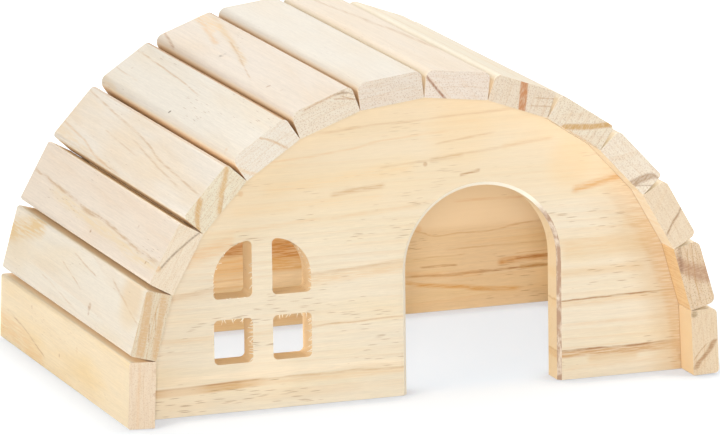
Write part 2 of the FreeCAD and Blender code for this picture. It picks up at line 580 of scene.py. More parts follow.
def finish_grain(recipe, base, rings, fibres, grooves):
    """The shader with streaks and rings as its relief, and the given grooves cut into it."""
    relief = recipe.math("MULTIPLY_ADD", fibres["Streaks"], 0.6, product(recipe, rings["Late wood"], 0.25))
    for groove in grooves:
        relief = recipe.math("SUBTRACT", relief, groove)
    finish_shader(recipe, base, relief, recipe.math("MULTIPLY_ADD", fibres["Streaks"], 0.18, 0.52))


def wood_layers(recipe, position, tree, seed):
    """The layers that every pine strip has: returns its colour, rings and fibre signs."""
    angle = math.radians(tree["outward"])
    rings = use_group(recipe, ring_group, Position=recipe.vector("SUBTRACT", position, middle_of_slat),
                      Outward=(math.cos(angle), 0.0, math.sin(angle)), Centre_distance=tree["centre"],
                      Drift=tree["drift"], Ring_width=tree["ring"], Wander=tree["wander"], Seed=seed)
    fibres = use_group(recipe, fibre_group, Position=position, Dash_size=tree["dashes"], Seed=seed)
    clouds = product(recipe, rise(recipe, fibres["Clouds"], 0.35, 0.75), tree["clouds"])
    base = blend(recipe, clouds, tree["tone"], tree["warm"])
    base = blend(recipe, product(recipe, rings["Late wood"], tree["contrast"]), base, amber)
    streak = recipe.math("MULTIPLY_ADD", fibres["Streaks"], 0.38, 0.81)
    base = blend(recipe, 1.0, base, recipe.join(streak, streak, streak), "MULTIPLY")
    return base, rings, fibres

# %% [markdown]
# ## Telling the cuts of a slat apart
# A slat shows three kinds of cut. Its faces are planed and show long grain. Its
# long sides sit in the narrow gaps. Its ends are sawn across. Separate materials
# on separate faces would do, but the rounded edges belong half to one cut and half
# to the next. So the direction of the surface, in the slat's own axes, tells them
# apart, and one cut fades into the other over the rounding.

# %% Masks for the cuts
def slat_cuts(recipe, number):
    """How far the surface faces out, and masks for the face, the sides, the inner face and the ends."""
    normal = recipe.coordinate("Normal")
    lean = slat_lean(number)
    facing_out = recipe.vector("DOT_PRODUCT", normal, (math.sin(lean), 0.0, math.cos(lean)))
    end = rise(recipe, recipe.math("ABSOLUTE", recipe.split(normal)[1]), 0.45, 0.75)
    not_end = recipe.math("SUBTRACT", 1.0, end)
    upright = rise(recipe, recipe.math("ABSOLUTE", facing_out), 0.70, 0.30)
    return {"facing out": facing_out, "end": end, "not end": not_end,
            "face": rise(recipe, facing_out, 0.2, 0.6), "side": product(recipe, upright, not_end),
            "inner": rise(recipe, facing_out, -0.60, -0.85)}

# %% [markdown]
# ## Planed faces and the sides in the gaps
# The marks on a face are broken up by fine strands, because the planer lifts some fibres and leaves others.
# The sides in the gaps get painted light and shade of their own: a pale painted highlight on every side, warm
# painted bounce light near the outer edge, and painted shade deep in the gap, darker than the lamps alone
# make it. Some slats also get painted shade on the rounding that turns to the right. On the inner face, a
# painted brown line of contact shade lies along the front board.

# %% Faces and sides
# Where a point lies in its slat: as one vector, and apart in the three directions
SlatPlace = namedtuple("SlatPlace", ("position", "across", "along", "out"))


def planed_face(recipe, base, place, tree, cuts):
    """The face with its lines, knots and soft patches."""
    strands = noise(recipe, place.position, (1.5, 0.09, 1.5), detail=4.0, roughness=0.6)
    patchy = recipe.math("MULTIPLY_ADD", rise(recipe, strands, 0.35, 0.60), 0.75, 0.15)
    ragged = wavering(recipe, place.position, place.across, tree["ragged"], 0.06)
    base = draw_marks(recipe, base, place.along, ragged, tree["face"], tree["knots"],
                      product(recipe, cuts["face"], patchy))
    return draw_marks(recipe, base, place.along, place.across, (), tree["patches"], cuts["face"])


def gap_sides(recipe, base, place, tree, cuts):
    """The sides, with painted light near the outer edge, painted shade deep in the gap and on the right
    rounding.
    """
    # Painted highlight on the sides, then warm painted bounce light and painted shade in the gaps
    base = blend(recipe, product(recipe, cuts["side"], 0.8), base, lit_side)
    in_gap = product(recipe, cuts["side"], tree["gap"])
    base = blend(recipe, product(recipe, in_gap, rise(recipe, place.out, 10.0, 7.0)), base, tree["side"])
    deep = rise(recipe, place.out, tree["deep_from"], tree["deep_from"] / 4)
    base = blend(recipe, product(recipe, in_gap, deep), base, tree["deep"])
    # Painted shade on the rounding that turns to the right
    turned_right = product(recipe, rise(recipe, place.across, 9.0, 11.0),
                           rise(recipe, cuts["facing out"], 0.95, 0.82))
    return blend(recipe, product(recipe, turned_right, tree["right_rounding_shade"]), base, rounding_shade_tone)


def inner_face(recipe, base, place, tree, cuts, fibres):
    """The inner face, with a painted brown line of contact shade along the front board."""
    grainy = product(recipe, rise(recipe, fibres["Streaks"], 0.42, 0.60), 0.45)
    inner_tone = blend(recipe, grainy, tree["inner"], tree["inner_streak"])
    base = blend(recipe, product(recipe, cuts["inner"], 0.85), base, inner_tone)
    # Painted contact shade where the inner face meets the front board
    board_contact_shade = product(recipe, rise(recipe, place.along, 12.6, 13.3), rise(recipe, place.along, 14.4, 13.7))
    return blend(recipe, product(recipe, cuts["inner"], board_contact_shade, 0.7), base, brown)

# %% [markdown]
# ## Sawn ends
# Where a slat is sawn across, the fibres stand open and drink in light, so an end
# is greyer than a face, with pores and the fine lines of the saw. The dark rings
# that cross it are drawn as marks, broken up as by the teeth of a saw.

# %% Ends, and the whole slat
def sawn_end(recipe, base, place, tree, cuts, rings, fibres):
    """The sawn end laid over the rest, and the grooves that the saw left."""
    saw = noise(recipe, place.position, tree["saw"])
    pores = noise(recipe, place.position, (2.2, 0.0, 2.2), detail=4.0, roughness=0.7)
    teeth = noise(recipe, place.position, (1.6, 0.0, 0.35))
    layers = [(rings["Late wood"], 0.15, amber),
              (rise(recipe, saw, 0.45, 0.75), tree["saw_share"], line_tan),
              (rise(recipe, pores, 0.50, 0.64), 0.40, line_tan),
              (fibres["Specks"], tree["specks"], dash_brown)]
    end_tone = tree["end"]
    for mask, share, layer_tone in layers:
        end_tone = blend(recipe, product(recipe, mask, share), end_tone, layer_tone)
    broken = recipe.math("MULTIPLY_ADD", rise(recipe, teeth, 0.35, 0.60), 0.40, 0.60)
    end_tone = draw_marks(recipe, end_tone, place.across, place.out, tree["sawn"], tree["sawn_knots"], broken)
    grooves = product(recipe, recipe.math("ADD", saw, pores), cuts["end"], 0.5)
    return blend(recipe, cuts["end"], base, end_tone), grooves


def slat_finish(number, tree):
    """The whole material of one slat."""
    material, recipe = new_finish("pine_slat_%02d" % number)
    position = slat_position(recipe, number)
    place = SlatPlace(position, *recipe.split(position))
    base, rings, fibres = wood_layers(recipe, position, tree, float(number))
    cuts = slat_cuts(recipe, number)
    base = planed_face(recipe, base, place, tree, cuts)
    base = gap_sides(recipe, base, place, tree, cuts)
    base = inner_face(recipe, base, place, tree, cuts, fibres)
    dashes = product(recipe, fibres["Dashes"], cuts["not end"])
    base = blend(recipe, product(recipe, dashes, 0.55), base, dash_brown)
    base, saw_grooves = sawn_end(recipe, base, place, tree, cuts, rings, fibres)
    finish_grain(recipe, base, rings, fibres, (product(recipe, dashes, 0.6), saw_grooves))
    return material

# %% [markdown]
# ## Fourteen different trees
# A factory cuts such slats from whatever stock comes by: one is golden, its
# neighbour nearly white, and the rings cross each end at another angle. Each slat
# is described as a sawyer might describe it. First comes its stock: where the
# middle of the tree lay, how the grain drifts, how wide and how strong the rings
# are, how cloudy and speckled the wood is, and its plain, warm and end tones.

# %% The stock of the slats
stock_columns = ("outward", "centre", "drift", "ring", "contrast", "clouds", "specks", "tone", "warm", "end")
slat_stock = {
    1: (80, 60, -3.05, 4.2, 0.1, 0.9, 0.2, (249, 229, 194), (246, 217, 165), (230, 211, 186)),
    2: (102, 70, 1.2, 2.6, 0.12, 0.5, 0.3, (243, 232, 213), (241, 220, 184), (218, 206, 181)),
    3: (69, 80, -1.29, 3.4, 0.1, 0.4, 0.15, (242, 227, 208), (244, 219, 191), (229, 215, 192)),
    4: (122, 70, 4.6, 5, 0.1, 0.6, 0.3, (242, 231, 215), (242, 217, 181), (225, 216, 192)),
    5: (38, 60, -1.8, 4.5, 0.08, 0.4, 0.18, (238, 229, 214), (236, 218, 190), (230, 222, 207)),
    6: (65, 70, -6.3, 5, 0.08, 0.4, 0.36, (239, 226, 210), (237, 214, 184), (228, 217, 198)),
    7: (88, 90, 0.5, 6, 0.06, 0.4, 0.38, (240, 231, 216), (238, 221, 197), (225, 214, 199)),
    8: (47, 60, 6.3, 6, 0.06, 0.4, 0.33, (247, 232, 212), (245, 223, 193), (231, 219, 205)),
    9: (15, 20, 1, 5.5, 0.08, 0.4, 0.35, (255, 243, 220), (255, 235, 200), (227, 213, 192)),
    10: (120.5, 70, 1.5, 5.5, 0.08, 0.5, 0.35, (243, 228, 204), (242, 218, 180), (232, 220, 198)),
    11: (144, 60, -1, 4.5, 0.08, 0.5, 0.3, (242, 227, 202), (241, 217, 178), (238, 226, 206)),
    12: (29, 60, 2, 5, 0.08, 0.5, 0.2, (242, 224, 196), (240, 212, 168), (233, 215, 188)),
    13: (-17, 50, -1, 4, 0.1, 0.8, 0.5, (240, 220, 188), (236, 202, 150), (226, 205, 176)),
    14: (49, 60, 2.5, 4.5, 0.1, 0.7, 0.2, (242, 222, 190), (238, 206, 158), (229, 209, 179)),
}
print("stock for", len(slat_stock), "slats")

# %% [markdown]
# ## What a slat has unless it says otherwise
# Most slats share the same painted light and shade in the gaps and the same faint signs. These are written
# once, and a slat's own list then names only what sets it apart.

# %% The usual values
# The gap, side, deep and deep_from values set the painted light and shade in the gaps
slat_usual = dict(wander=1.0, dashes=0.15, ragged=1.6, gap=0.8, side=warm_bounce_tone, deep=gap_shade_tone, deep_from=4.0,
                  right_rounding_shade=0.0, inner=pale, inner_streak=golden, saw=(0.08, 0.0, 1.7), saw_share=0.35,
                  face=(), knots=(), patches=(), sawn=(), sawn_knots=())
slat_marks = {}
print("usual values", len(slat_usual))

# %% [markdown]
# ## The low slats on the left
# These show their whole faces, so they have most of the marks. Marks on the face
# are given by their distance along the slat and across it, and marks on the sawn
# end by their place across and out, all in millimetres. After its points, a line
# has its width, its softness, its strength and its tone.

# %% The marks of slats 1 to 5
slat_marks.update({
    1: dict(
        gap=0.6,
        face=[([(108, -13.5), (125, -10.5), (145, -7.5), (185, -5.5)], 9, 2.5, 0.55, (238, 192, 128)),
              ([(108, -9.5), (118, -7), (135, -3.5), (150, -1.2), (166, 0.8)], 0.5, 0.5, 0.6, brown)],
        knots=[((91, -3.5), 1.2, 0.7, brown), ((129, 8.3), 1.1, 0.6, brown), ((68, 3.6), 2, 0.35, amber)],
        sawn=[([(-15, 7.4), (15, 6.6)], 0.8, 0.6, 0.3, amber)],
        sawn_knots=[((0.1, 0.2), 1.2, 0.5, brown), ((9.5, 0.3), 1.2, 0.4, brown)]),
    2: dict(
        gap=0.35, saw_share=0.8,
        face=[([(128, 13.5), (146, 9.5), (164, 4.5), (185, 0)], 9, 3, 1, (234, 200, 144)),
              ([(58, 6.2), (92, 9.8)], 0.4, 0.4, 0.6, line_tan),
              ([(72, -2), (104, 4.3)], 0.4, 0.4, 0.55, line_tan),
              ([(-2, -1.5), (20, 4), (42, 10)], 0.5, 0.6, 0.55, line_tan),
              ([(70, -11), (128, -5)], 0.4, 0.4, 0.35, line_tan)],
        knots=[((58.7, -6), 2.4, 0.6, brown), ((58, -8.5), 1.4, 0.5, brown)],
        patches=[((14, 8), 17, 0.45, golden), ((158, 4), 22, 0.1, golden)],
        sawn=[([(-15, 7), (0, 8.2), (15, 9.6)], 3.2, 0.6, 0.75, line_tan),
              ([(-15, 0.6), (0, 2.2), (15, 3.5)], 2.6, 0.6, 0.7, line_tan),
              ([(-7, 5), (1, 6.5)], 0.4, 0.3, 0.7, brown), ([(-2, 3.4), (6, 5.2)], 0.4, 0.3, 0.6, brown)]),
    3: dict(
        gap=0.6, side=(255, 224, 180), deep=(206, 160, 112), dashes=0.22, ragged=3,
        face=[([(-8, -7), (30, -6.6), (61, -5.2), (90, -5), (125, -3.4),
                (150, -2)], 4, 2, 0.8, (242, 218, 176)), ([(-8, -5), (21, -4.5), (44, -3.5), (61, -2.4),
                (77, -1.7), (94, -2.4), (111, -1.2), (137, -0.4), (185, 0.5)], 0.9, 0.8, 0.8, line_tan)],
        knots=[((82.7, -8.4), 1.3, 0.8, brown), ((37.7, 3.6), 1.1, 0.5, brown),
               ((78.5, -1.9), 1, 0.7, brown), ((13.7, -7), 1, 0.6, brown)],
        sawn=[([(-8, 10.3), (-5.5, 9.5), (-1.7, 8.4), (2.6, 6.8), (5.8, 5.4), (10.8, 3.1),
                (15, 0.6)], 0.8, 0.4, 0.8, (150, 128, 106))],
        sawn_knots=[((-6.5, 10.5), 1.8, 0.5, amber)]),
    4: dict(
        right_rounding_shade=0.35, gap=0.5, side=(255, 224, 180), deep=(206, 160, 112), saw_share=0.5, ragged=0.8,
        face=[([(84, -14), (120, -13), (150, -11), (185, -9)], 4.5, 1.5, 0.45, golden),
              ([(-8, -3.6), (24, -1.4), (44, -0.2), (61, 1.1), (77, 3.6), (94, 5.3), (111, 6.5), (136, 8.1),
                (185, 12)], 0.6, 0.5, 0.65, line_tan),
              ([(20, -4.6), (50, -2.3), (78, 0.6), (100, 2.6)], 0.5, 0.5, 0.55, line_tan),
              ([(80, -2.6), (111, -1), (130, 0.2)], 0.4, 0.4, 0.4, line_tan),
              ([(80, -12.6), (111, -11.7), (144, -7.7), (185, -5.2)], 0.6, 0.5, 0.6, amber)],
        sawn=[([(-15, 0.8), (-12.7, 3.6), (-10.5, 6.1), (-6.2, 8.9),
                (-2.5, 10.9)], 2.6, 0.8, 0.8, (204, 160, 100)),
              ([(-5, -0.7), (0.1, 2.7), (3.8, 5.2), (7.6, 7.1), (10.7, 8.9),
                (14, 11)], 2.2, 0.8, 0.75, (208, 166, 108)),
              ([(-4, -0.8), (0, 1.8), (4, 4.2)], 0.5, 0.3, 0.5, brown)]),
    5: dict(
        right_rounding_shade=0.9, deep=(204, 156, 108), dashes=0.24,
        face=[([(78, 3), (94, 4.1), (111, 5.1), (127, 5.8), (150, 6.6),
                (190, 8)], 0.5, 0.4, 0.75, line_tan), ([(150, -13.5), (190, -9.5)], 3, 1.5, 0.5, golden),
              ([(140, -5), (178, -4)], 0.4, 0.4, 0.4, line_tan)],
        knots=[((87.7, -9.4), 1.1, 0.95, (106, 84, 62)), ((13, -10.9), 1.8, 0.4, amber),
               ((158, -0.9), 0.9, 0.5, brown)],
        sawn=[([(0.4, 11.8), (1, 10.2), (2.6, 8.6), (4.5, 5.5), (6, 2.7),
                (7.4, -0.6)], 0.9, 0.5, 0.75, line_tan),
              ([(-14.5, 8), (-13, 5.8), (-11.1, 2.7), (-9, 0), (-8, -1.4)], 1.4, 0.7, 0.55, tan)]),
})
print("slats with marks", len(slat_marks))

# %% [markdown]
# ## The slats over the top
# They are the palest. The upper left gaps are wide open and light, and slat 6 has
# a torn corner on its end, drawn here as a few crossing lines.

# %% The marks of slats 6 to 9
slat_marks.update({
    6: dict(
        right_rounding_shade=0.9, side=(226, 196, 150), deep=(214, 176, 122), deep_from=8, ragged=0.6,
        face=[([(150, 7.5), (168, 6.6), (190, 8)], 3.5, 1.8, 0.4, golden),
              ([(80, -4), (100, 0.4), (120, 4), (140, 7), (160, 10.6),
                (176, 13.5)], 1.8, 1.5, 0.75, (232, 200, 152)),
              ([(60, -8.5), (80, -4.6), (104, 0.6), (125, 4.2)], 0.4, 0.4, 0.6, line_tan),
              ([(122, -1.4), (140, 1.6), (160, 4.8), (185, 9.2)], 1.6, 1.4, 0.7, (236, 198, 150)),
              ([(140, 5), (160, 7.6), (185, 11)], 4.5, 2.5, 0.6, (248, 216, 170)),
              ([(148, -12.8), (166, -9.7), (178, -8)], 0.7, 0.6, 0.7, brown)],
        knots=[((109, -4.4), 2.2, 0.6, (150, 130, 112)), ((45, -6.7), 1.4, 0.6, brown),
               ((33, -5.2), 1, 0.45, brown)],
        sawn=[([(4.5, 9.3), (9, 7.3), (15, 4.2)], 0.5, 0.4, 0.6, brown),
              ([(-9, 9.8), (0, 10.4), (7, 10.5)], 0.5, 0.4, 0.6, brown),
              ([(5, 10.6), (10, 9.4), (13, 7.4)], 0.8, 0.4, 0.7, (160, 128, 98)),
              ([(8, 9), (12.6, 5.4)], 0.4, 0.3, 0.7, brown)],
        sawn_knots=[((9.4, 10.3), 1.2, 0.4, (160, 128, 98)), ((11.4, 8.2), 1, 0.4, pale)]),
    7: dict(
        side=(236, 210, 168), deep=(210, 170, 120), deep_from=8),
    8: dict(
        gap=0,
        face=[([(45, 11), (54, 10.5), (71, 9.3), (87, 8), (101, 6.3), (111, 3.8), (124, 3.3), (137, 1.3),
                (152, -1.2), (185, -4)], 2, 1.4, 0.65, (216, 184, 144))],
        sawn=[([(-15, 10.1), (-13.5, 8.6), (-9.9, 5.1), (-7.4, 2.6),
                (-3.6, -0.8)], 1.3, 0.5, 0.9, (160, 112, 80))]),
    9: dict(
        gap=0.4, saw=(1.7, 0, 0.08),
        face=[([(-8, -9), (185, -5)], 1.5, 1, 0.5, golden), ([(-8, 2), (185, 6)], 1, 0.9, 0.4, golden)],
        sawn=[([(-1.1, 12.4), (-0.8, 10.8), (0.5, 5.8), (2.1, -1.4)], 3.2, 0.35, 1, (196, 138, 94)),
              ([(5, 6.2), (15, 8.4)], 0.4, 0.3, 0.6, brown), ([(4, 2.6), (14, 5)], 0.4, 0.3, 0.5, brown)]),
})
print("slats with marks", len(slat_marks))

# %% [markdown]
# ## The low slats on the right
# They turn away from the camera and show mainly their ends and, past the edge of
# the board, a sliver of their inner faces. Then every slat gets its finish.

# %% The marks of slats 10 to 14
slat_marks.update({
    10: dict(
        gap=0, saw=(1.7, 0, 0.08), inner=(253, 236, 208),
        sawn=[([(-7.5, -1.2), (-4.9, 0.7), (0.1, 3.5), (4.5, 6), (8.8, 9.1),
                (14, 12.6)], 2.6, 0.7, 0.9, (202, 158, 94)),
              ([(-4, -0.2), (13, -0.2)], 1.2, 0.6, 0.7, (212, 164, 96))]),
    11: dict(
        gap=0, inner=(253, 236, 208),
        sawn=[([(6, -1), (6.7, 0.5), (8.2, 4.2), (10.7, 8.2), (14, 10)], 3.2, 0.8, 0.75, (170, 134, 100)),
              ([(7.2, -0.9), (8.2, 0.4), (14, 5.8)], 0.5, 0.4, 0.6, (170, 134, 100))]),
    12: dict(
        gap=0, inner=(250, 236, 212),
        sawn=[([(0, 12), (0.4, 10.7), (1.7, 8.8), (3.2, 5.4), (5.7, 1.6),
                (7, -0.4)], 0.9, 0.5, 0.8, (168, 130, 96))]),
    13: dict(
        gap=0, saw_share=0.9, inner=(238, 202, 150), inner_streak=(208, 152, 94),
        sawn=[([(-9, -1.2), (-6, 1.3), (-1.5, 6), (1, 10.6), (1.6, 12.4)], 7.5, 2.2, 0.8, (182, 140, 110)),
              ([(-15, 2.6), (-2, 0.4)], 1.2, 0.8, 0.6, (150, 110, 84)),
              ([(-15, 8), (4, 5)], 0.4, 0.3, 0.6, brown), ([(-12, 5.4), (2, 2.6)], 0.4, 0.3, 0.6, brown)]),
    14: dict(
        gap=0.2, saw_share=0.5, inner=(238, 208, 166),
        sawn=[([(-1.2, 11.4), (-0.2, 9.7), (3.2, 7.5), (6.4, 4.4), (8.2, 2.5),
                (11.5, 0.6)], 2.4, 0.7, 0.9, (180, 140, 102)),
              ([(0.5, 6.6), (5.1, 1.9), (7.4, 0.2)], 0.5, 0.4, 0.6, brown)],
        sawn_knots=[((-11.8, 1.3), 2, 0.8, (166, 140, 104))]),
})

for name in slat_names:
    number = int(name[-2:])
    tree = {**slat_usual, **dict(zip(stock_columns, slat_stock[number])), **slat_marks[number]}
    cad_pieces[name].data.materials.clear()
    cad_pieces[name].data.materials.append(slat_finish(number, tree))
print("slat finishes", len(slat_marks))

# %% [markdown]
# ## Boards glued from strips
# The boards are glued up from narrower strips laid edge to edge, as shelving
# board is, with the grain level. Every strip comes from another piece of a tree,
# so the rings start afresh at each glue line. The finish counts how many glue
# lines lie below a point and shifts the wood by that count, which makes several
# strips from one recipe.

# %% Strips and their marks
board_thickness = 0.011
board_setback = 0.0135
strip_shift = (19.0, 83.0)
BoardPlace = namedtuple("BoardPlace", ("position", "height", "along"))


def glued_strips(recipe, position, height, seams):
    """The place in the wood, which jumps to another part of the tree at each glue line."""
    strip = 0.0
    for seam in seams:
        strip = recipe.math("ADD", recipe.math("GREATER_THAN", height, seam), strip)
    jump = recipe.join(recipe.math("MULTIPLY", strip, strip_shift[0]),
                       recipe.math("MULTIPLY", strip, strip_shift[1]), 0.0)
    return recipe.vector("ADD", position, jump)


def board_marks(recipe, base, place, tree, solid, patchy):
    """Soft bands and patches first, then the ragged lines, then the knots."""
    ragged = wavering(recipe, place.position, place.height, 2.0, 0.05)
    base = draw_marks(recipe, base, place.along, place.height, tree["bands"], tree["patches"], solid)
    base = draw_marks(recipe, base, place.along, ragged, tree["marks"], (), patchy)
    return draw_marks(recipe, base, place.along, place.height, (), tree["knots"], 1.0)

# %% [markdown]
# ## Edges of the front board
# Sawn and milled edges drink in light as the ends of the slats do. The front board has three more: the cut
# panes get painted light, the rim beside the low right slats gets painted shade with a painted line of
# contact shade along the slats, and the bevel round the door gets a near-white painted highlight and is
# scorched on the right.

# %% Cut edges, rim and bevel
def front_rim_shade(recipe, base, place, tree, solid, patchy):
    """Painted shade on the rim of the board beside the low slats on the right, and a painted line of contact
    shade along them.
    """
    from_middle = recipe.vector("LENGTH", recipe.join(place.along, place.height, 0.0))
    near_rim = product(recipe, rise(recipe, from_middle, 97.0, 111.0),
                       rise(recipe, place.along, 30.0, 70.0), rise(recipe, place.height, 82.0, 54.0))
    # Painted shade on the rim near the low slats
    base = blend(recipe, product(recipe, near_rim, solid, 0.7), base, tree["rim_shade_tone"])
    # A painted line of contact shade where the board meets the slats
    slat_contact_shade = product(recipe, rise(recipe, from_middle, 108.5, 111.5),
                       rise(recipe, place.along, 70.0, 100.0))
    return blend(recipe, product(recipe, slat_contact_shade, patchy, 0.6), base, line_tan)


def door_bevel(recipe, base, place, tree, facing_front):
    """The bevel round the door with a near-white painted highlight, scorched in places on its right side."""
    bevel = product(recipe, rise(recipe, facing_front, 0.35, 0.60), rise(recipe, facing_front, 0.95, 0.80))
    # A near-white painted highlight on the bevel
    base = blend(recipe, product(recipe, bevel, 0.85), base, tree["bevel_highlight_tone"])
    broken = noise(recipe, place.position, (0.16, 0.16, 0.5), detail=4.0, roughness=0.65)
    scorched = recipe.math("MULTIPLY_ADD", rise(recipe, broken, 0.36, 0.58), 0.55, 0.45)
    worn_side = product(recipe, rise(recipe, place.along, 47.0, 55.0), rise(recipe, place.height, 76.0, 66.0))
    return blend(recipe, product(recipe, bevel, scorched, worn_side, 0.85), base, scorched_brown)

# %% [markdown]
# ## The whole board
# Now the parts come together in order: the glued strips, the marks on the side
# that faces the front, the cut edges, the resin dashes over all of it, and last
# the bevel. The photograph shows no side that faces the back, so that side is
# left as plain pale pine.

# %% The finish of a glued board
def board_finish(name, front_y, tree):
    """The whole material of one board."""
    material, recipe = new_finish(name)
    x, y, z = recipe.split(recipe.coordinate("Object"))
    position = recipe.scale(recipe.join(z, x, recipe.math("SUBTRACT", y, front_y)), 1 / millimetre)
    height, along = recipe.split(position)[:2]
    place = BoardPlace(position, height, along)
    glued = glued_strips(recipe, position, height, tree["seams"])
    base, rings, fibres = wood_layers(recipe, glued, tree, tree["seed"])

    facing_front = recipe.math("MULTIPLY", recipe.split(recipe.coordinate("Normal"))[1], -1.0)
    strands = noise(recipe, position, (1.8, 0.10, 1.8), detail=4.0, roughness=0.6)
    strands = rise(recipe, strands, 0.38, 0.62)
    solid = recipe.math("MULTIPLY_ADD", strands, 0.30, 0.70)
    patchy = recipe.math("MULTIPLY_ADD", strands, 0.62, 0.34)
    plain = blend(recipe, 0.55, base, pale)
    high = rise(recipe, height, tree["tone_low"], tree["tone_high"])
    base = blend(recipe, product(recipe, high, tree["high_strength"]), base, tree["high_tone"])
    base = board_marks(recipe, base, place, tree, solid, patchy)

    cut = rise(recipe, recipe.math("ABSOLUTE", facing_front), 0.75, 0.45)
    base = blend(recipe, product(recipe, cut, 0.55), base, tree["cut_tone"])
    if "pane_cut_light_tone" in tree:
        # Painted light on the cut edges of the panes
        in_panes = product(recipe, cut, rise(recipe, along, -30.0, -40.0), 0.8)
        base = blend(recipe, in_panes, base, tree["pane_cut_light_tone"])
        base = front_rim_shade(recipe, base, place, tree, solid, patchy)
    base = blend(recipe, rise(recipe, facing_front, -0.45, -0.75), base, plain)
    few_dashes = rise(recipe, height, tree["dashes_end"], tree["dashes_end"] - 8.0)
    dash_share = recipe.math("MULTIPLY_ADD", few_dashes, 0.40, 0.26)
    base = blend(recipe, product(recipe, fibres["Dashes"], dash_share), base, dash_brown)
    if "bevel_highlight_tone" in tree:
        base = door_bevel(recipe, base, place, tree, facing_front)

    finish_grain(recipe, base, rings, fibres, (product(recipe, fibres["Dashes"], 0.6),))
    return material


def dress_board(name, finish_name, front_y, tree):
    """Puts a board's own finish on it."""
    cad_pieces[name].data.materials.clear()
    cad_pieces[name].data.materials.append(board_finish(finish_name, front_y, tree))
    print(name, "has", len(tree["marks"]), "lines")

# %% [markdown]
# ## The front board
# Most of the board is calm, and what shows is level: a thin dark line at each glue
# joint, tan bands where a strip was cut near the late wood, and short golden
# lines near the top. Places are given in millimetres to the right of the middle
# and above the floor.

# %% The marks of the front board
front_tree = dict(
    outward=72, centre=48, drift=1.6, ring=3.1, contrast=0.2, wander=1.3, dashes=0.3, seed=3,
    tone=(234, 221, 197), warm=(233, 214, 178), high_tone=(235, 212, 174), clouds=0.6,
    seams=(12.6, 31.4, 74), tone_low=68, tone_high=82, high_strength=0.45, cut_tone=(233, 202, 152),
    # The pane cut, rim and bevel tones are painted light, painted shade and a painted highlight
    bevel_highlight_tone=(255, 249, 232), dashes_end=84, pane_cut_light_tone=(252, 224, 182), rim_shade_tone=(210, 186, 150),
    bands=[([(60, 52), (82, 52.8), (104, 53.4)], 7.5, 3, 0.5, (226, 194, 144)),
           ([(56, 43.6), (82, 43.8), (100, 44)], 3.6, 1.8, 0.55, (224, 190, 140)),
           ([(72, 7.6), (96, 8)], 3, 1.6, 0.5, (220, 182, 130)),
           ([(-125, 9.6), (-109, 9.9), (-90, 10.2), (-74, 10.9),
             (-60, 11.6)], 3.2, 0.6, 0.9, (210, 168, 114)),
           ([(-125, 11.1), (-109, 11.3), (-90, 11.7), (-62, 12.5)], 0.6, 0.3, 0.8, (184, 136, 90))],
    marks=[([(-130, 30.6), (-62, 31), (-40, 31.2)], 1.2, 1, 0.45, tan),
           ([(-54, 31.2), (-30, 31.9), (-4, 32.6), (20, 33)], 0.6, 0.4, 0.75, line_tan),
           ([(50, 30.8), (120, 31.6)], 2.6, 1.2, 0.6, tan),
           ([(50, 32.4), (120, 33.2)], 0.8, 0.35, 1, (176, 130, 84)),
           ([(-80, 10.9), (10, 10.6)], 2.2, 1.2, 0.5, tan),
           ([(-80, 12), (-40, 12.2), (10, 11.4)], 0.6, 0.5, 0.6, line_tan),
           ([(-108, 14.4), (-70, 15), (-40, 14.8), (4, 14.4)], 2.6, 1.2, 0.7, pale),
           ([(50, 10.2), (125, 10.4)], 3, 0.8, 1, (204, 160, 112)),
           ([(50, 11.7), (125, 11.9)], 0.7, 0.4, 1, (170, 124, 82)),
           ([(-54, 49.2), (-30, 51), (4, 52.8)], 4, 1.8, 0.65, tan),
           ([(-54, 51.4), (-30, 53.4), (4, 55.2)], 1, 0.7, 0.6, line_tan),
           ([(-110, 46.6), (-92, 49), (-80, 49.8)], 2, 1.2, 0.6, line_tan),
           ([(-98, 62), (-84, 66), (-74, 68.5)], 5.5, 2.5, 0.7, orange),
           ([(-90, 72), (-40, 74.4), (10, 77)], 1, 1, 0.5, tan),
           ([(-46, 108), (-25, 110), (14, 111.4), (56, 113)], 0.6, 0.6, 0.4, line_tan),
           ([(-68, 98.6), (-32, 101), (-12, 104), (18, 105.8)], 0.6, 0.6, 0.55, tan),
           ([(8, 100.6), (36, 103.8)], 0.5, 0.5, 0.5, line_tan),
           ([(-18, 92.6), (10, 95), (32, 97), (62, 100)], 0.7, 0.6, 0.4, line_tan),
           ([(6, 94.4), (22, 95.6)], 1.2, 0.9, 0.45, line_tan),
           ([(36, 97.4), (60, 99.8)], 1.6, 1.2, 0.4, tan),
           ([(-36, 83.8), (-11, 86.2)], 1.6, 1.2, 0.75, line_tan),
           ([(19, 87.2), (28.5, 89)], 0.9, 0.7, 0.95, brown),
           ([(-66, 87.6), (-20, 91), (4, 93)], 4, 2.5, 0.5, golden),
           ([(-80, 80), (-10, 82)], 3, 2, 0.4, golden),
           ([(66, 77), (76, 79), (92, 83.8)], 0.7, 0.6, 0.9, line_tan),
           ([(66, 77.2), (76, 79.2), (90, 82.4)], 2.8, 1.2, 1, (224, 178, 122)),
           ([(88, 62), (100, 61)], 3, 2, 0.4, tan), ([(92, 54), (106, 53)], 4, 2.5, 0.4, tan),
           ([(56, 55), (104, 56.5)], 5, 3, 0.4, tan), ([(-110, 4), (4, 5)], 1.5, 1.5, 0.15, tan),
           ([(60, 22), (112, 23)], 1.2, 1, 0.4, tan), ([(60, 4.6), (112, 5.4)], 1.4, 1.2, 0.4, tan)],
    knots=[((5, 93), 1.3, 0.45, brown), ((-72, 87.4), 1.5, 0.4, amber), ((114, 4.5), 2.6, 0.7, brown),
           ((112.5, 8), 1.8, 0.5, brown)],
    patches=[((-98, 4), 16, 0.6, pale), ((-62, 15), 15, 0.5, pale), ((66, 88), 13, 0.4, golden),
             ((20, 105), 18, 0.3, golden)])
